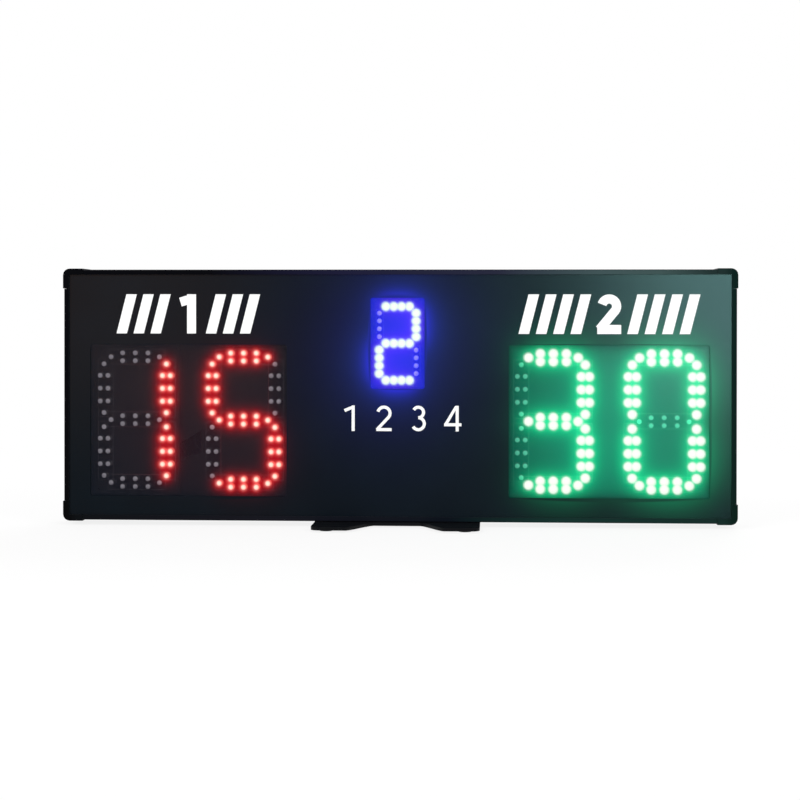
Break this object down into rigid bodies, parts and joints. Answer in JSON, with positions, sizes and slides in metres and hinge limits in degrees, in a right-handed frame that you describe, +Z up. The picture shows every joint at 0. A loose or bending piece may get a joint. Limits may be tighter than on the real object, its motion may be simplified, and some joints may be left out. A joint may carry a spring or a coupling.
{
  "type": "electronic scoreboard",
  "caption": "Wide electronic scoreboard with LED figures behind tinted windows, an aluminium frame, a rear switch and a folding foot.",
  "frame": {"origin": "centre of the bounding box in plan, on the surface that the foot's pads stand on", "axes": "+X to the right as seen from the front, +Y from the front to the back, +Z up"},
  "size_m": [0.608, 0.098, 0.2328],
  "materials": {
    "frame_rails": "black anodised, satin",
    "corner_caps": "moulded black, fine texture",
    "panel": "gloss near-black navy",
    "windows": "smoked clear",
    "led_boards": "matt black board with clear lenses",
    "carrier": "moulded black",
    "electronics": "green solder mask",
    "ribbon": "grey ribbed",
    "battery": "blue sleeve",
    "bright_steel": "zinc plated",
    "sounder_can": "moulded black",
    "rear_sheet": "black powder coat",
    "switch": "black, satin",
    "inlet": "black, satin",
    "wire": "insulated lead",
    "foot_steel": "black powder coat",
    "pad_rubber": "matt"
  },
  "bodies": {
    "housing": {"bottom_rail": "frame_rails", "left_rail": "frame_rails", "top_rail": "frame_rails", "right_rail": "frame_rails", "bottom_left_cap": "corner_caps", "top_left_cap": "corner_caps", "top_right_cap": "corner_caps", "bottom_right_cap": "corner_caps", "front_panel": "panel", "left_window": "windows", "right_window": "windows", "middle_window": "windows", "left_tens_figure": "led_boards", "left_units_figure": "led_boards", "right_tens_figure": "led_boards", "right_units_figure": "led_boards", "middle_figure": "led_boards", "display_carrier": "carrier", "control_board": "electronics", "receiver_module": "electronics", "left_inner_ribbon": "ribbon", "left_outer_ribbon": "ribbon", "right_inner_ribbon": "ribbon", "right_outer_ribbon": "ribbon", "middle_ribbon": "ribbon", "battery_pack": "battery", "battery_clamp": "bright_steel", "inlet_nut": "bright_steel", "hinge_pin": "bright_steel", "cover_screw_1": "bright_steel", "cover_screw_2": "bright_steel", "cover_screw_3": "bright_steel", "cover_screw_4": "bright_steel", "cover_screw_5": "bright_steel", "cover_screw_6": "bright_steel", "cover_screw_7": "bright_steel", "cover_screw_8": "bright_steel", "cover_screw_9": "bright_steel", "cover_screw_10": "bright_steel", "hinge_screw_1": "bright_steel", "hinge_screw_2": "bright_steel", "hinge_screw_3": "bright_steel", "clamp_screw_1": "bright_steel", "clamp_screw_2": "bright_steel", "sounder": "sounder_can", "rear_cover": "rear_sheet", "switch_body": "switch", "power_inlet": "inlet", "inlet_lead": "wire", "switch_lead": "wire", "battery_lead": "wire", "sounder_lead": "wire", "hinge_bracket": "foot_steel"},
    "foot": {"foot_plate": "foot_steel", "front_left_pad": "pad_rubber", "front_right_pad": "pad_rubber", "rear_left_pad": "pad_rubber", "rear_right_pad": "pad_rubber"},
    "rocker": {"switch_rocker": "switch"}
  },
  "joints": [
    {"name": "foot_fold", "type": "hinge", "parent": "housing", "child": "foot", "pos_m": [0, 0.045, 0.0055], "axis": [1, 0, 0], "range_deg": [0, 270]},
    {"name": "switch_tip", "type": "hinge", "parent": "housing", "child": "rocker", "pos_m": [0.242, 0.035, 0.0398], "axis": [1, 0, 0], "range_deg": [0, 24]}
  ]
}
